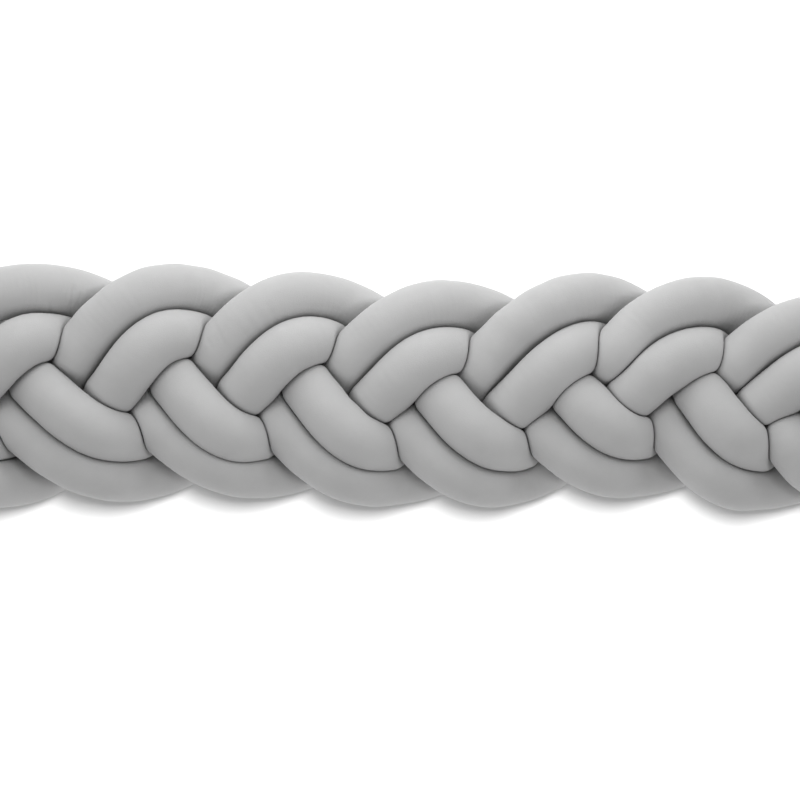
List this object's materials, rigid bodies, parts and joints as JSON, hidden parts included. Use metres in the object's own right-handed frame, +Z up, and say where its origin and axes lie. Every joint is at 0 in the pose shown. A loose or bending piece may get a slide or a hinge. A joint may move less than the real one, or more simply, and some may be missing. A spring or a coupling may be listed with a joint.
{
  "type": "crib bumper",
  "caption": "Long padded cot bumper of stuffed cloth tubes, laid in pairs and plaited as a flat braid with plain closed ends.",
  "frame": {"origin": "on the surface that the braid lies on, under the middle of its box", "axes": "+X along the braid, +Y across it, towards the arch side of the plait, +Z up from the surface"},
  "size_m": [1.17, 0.273, 0.1234],
  "materials": {
    "cover": "soft light grey velvet, short brushed pile"
  },
  "bodies": {
    "root": {"tube_1_upper": "cover", "tube_1_lower": "cover", "tube_2_upper": "cover", "tube_2_lower": "cover", "tube_3_upper": "cover", "tube_3_lower": "cover"}
  },
  "joints": []
}
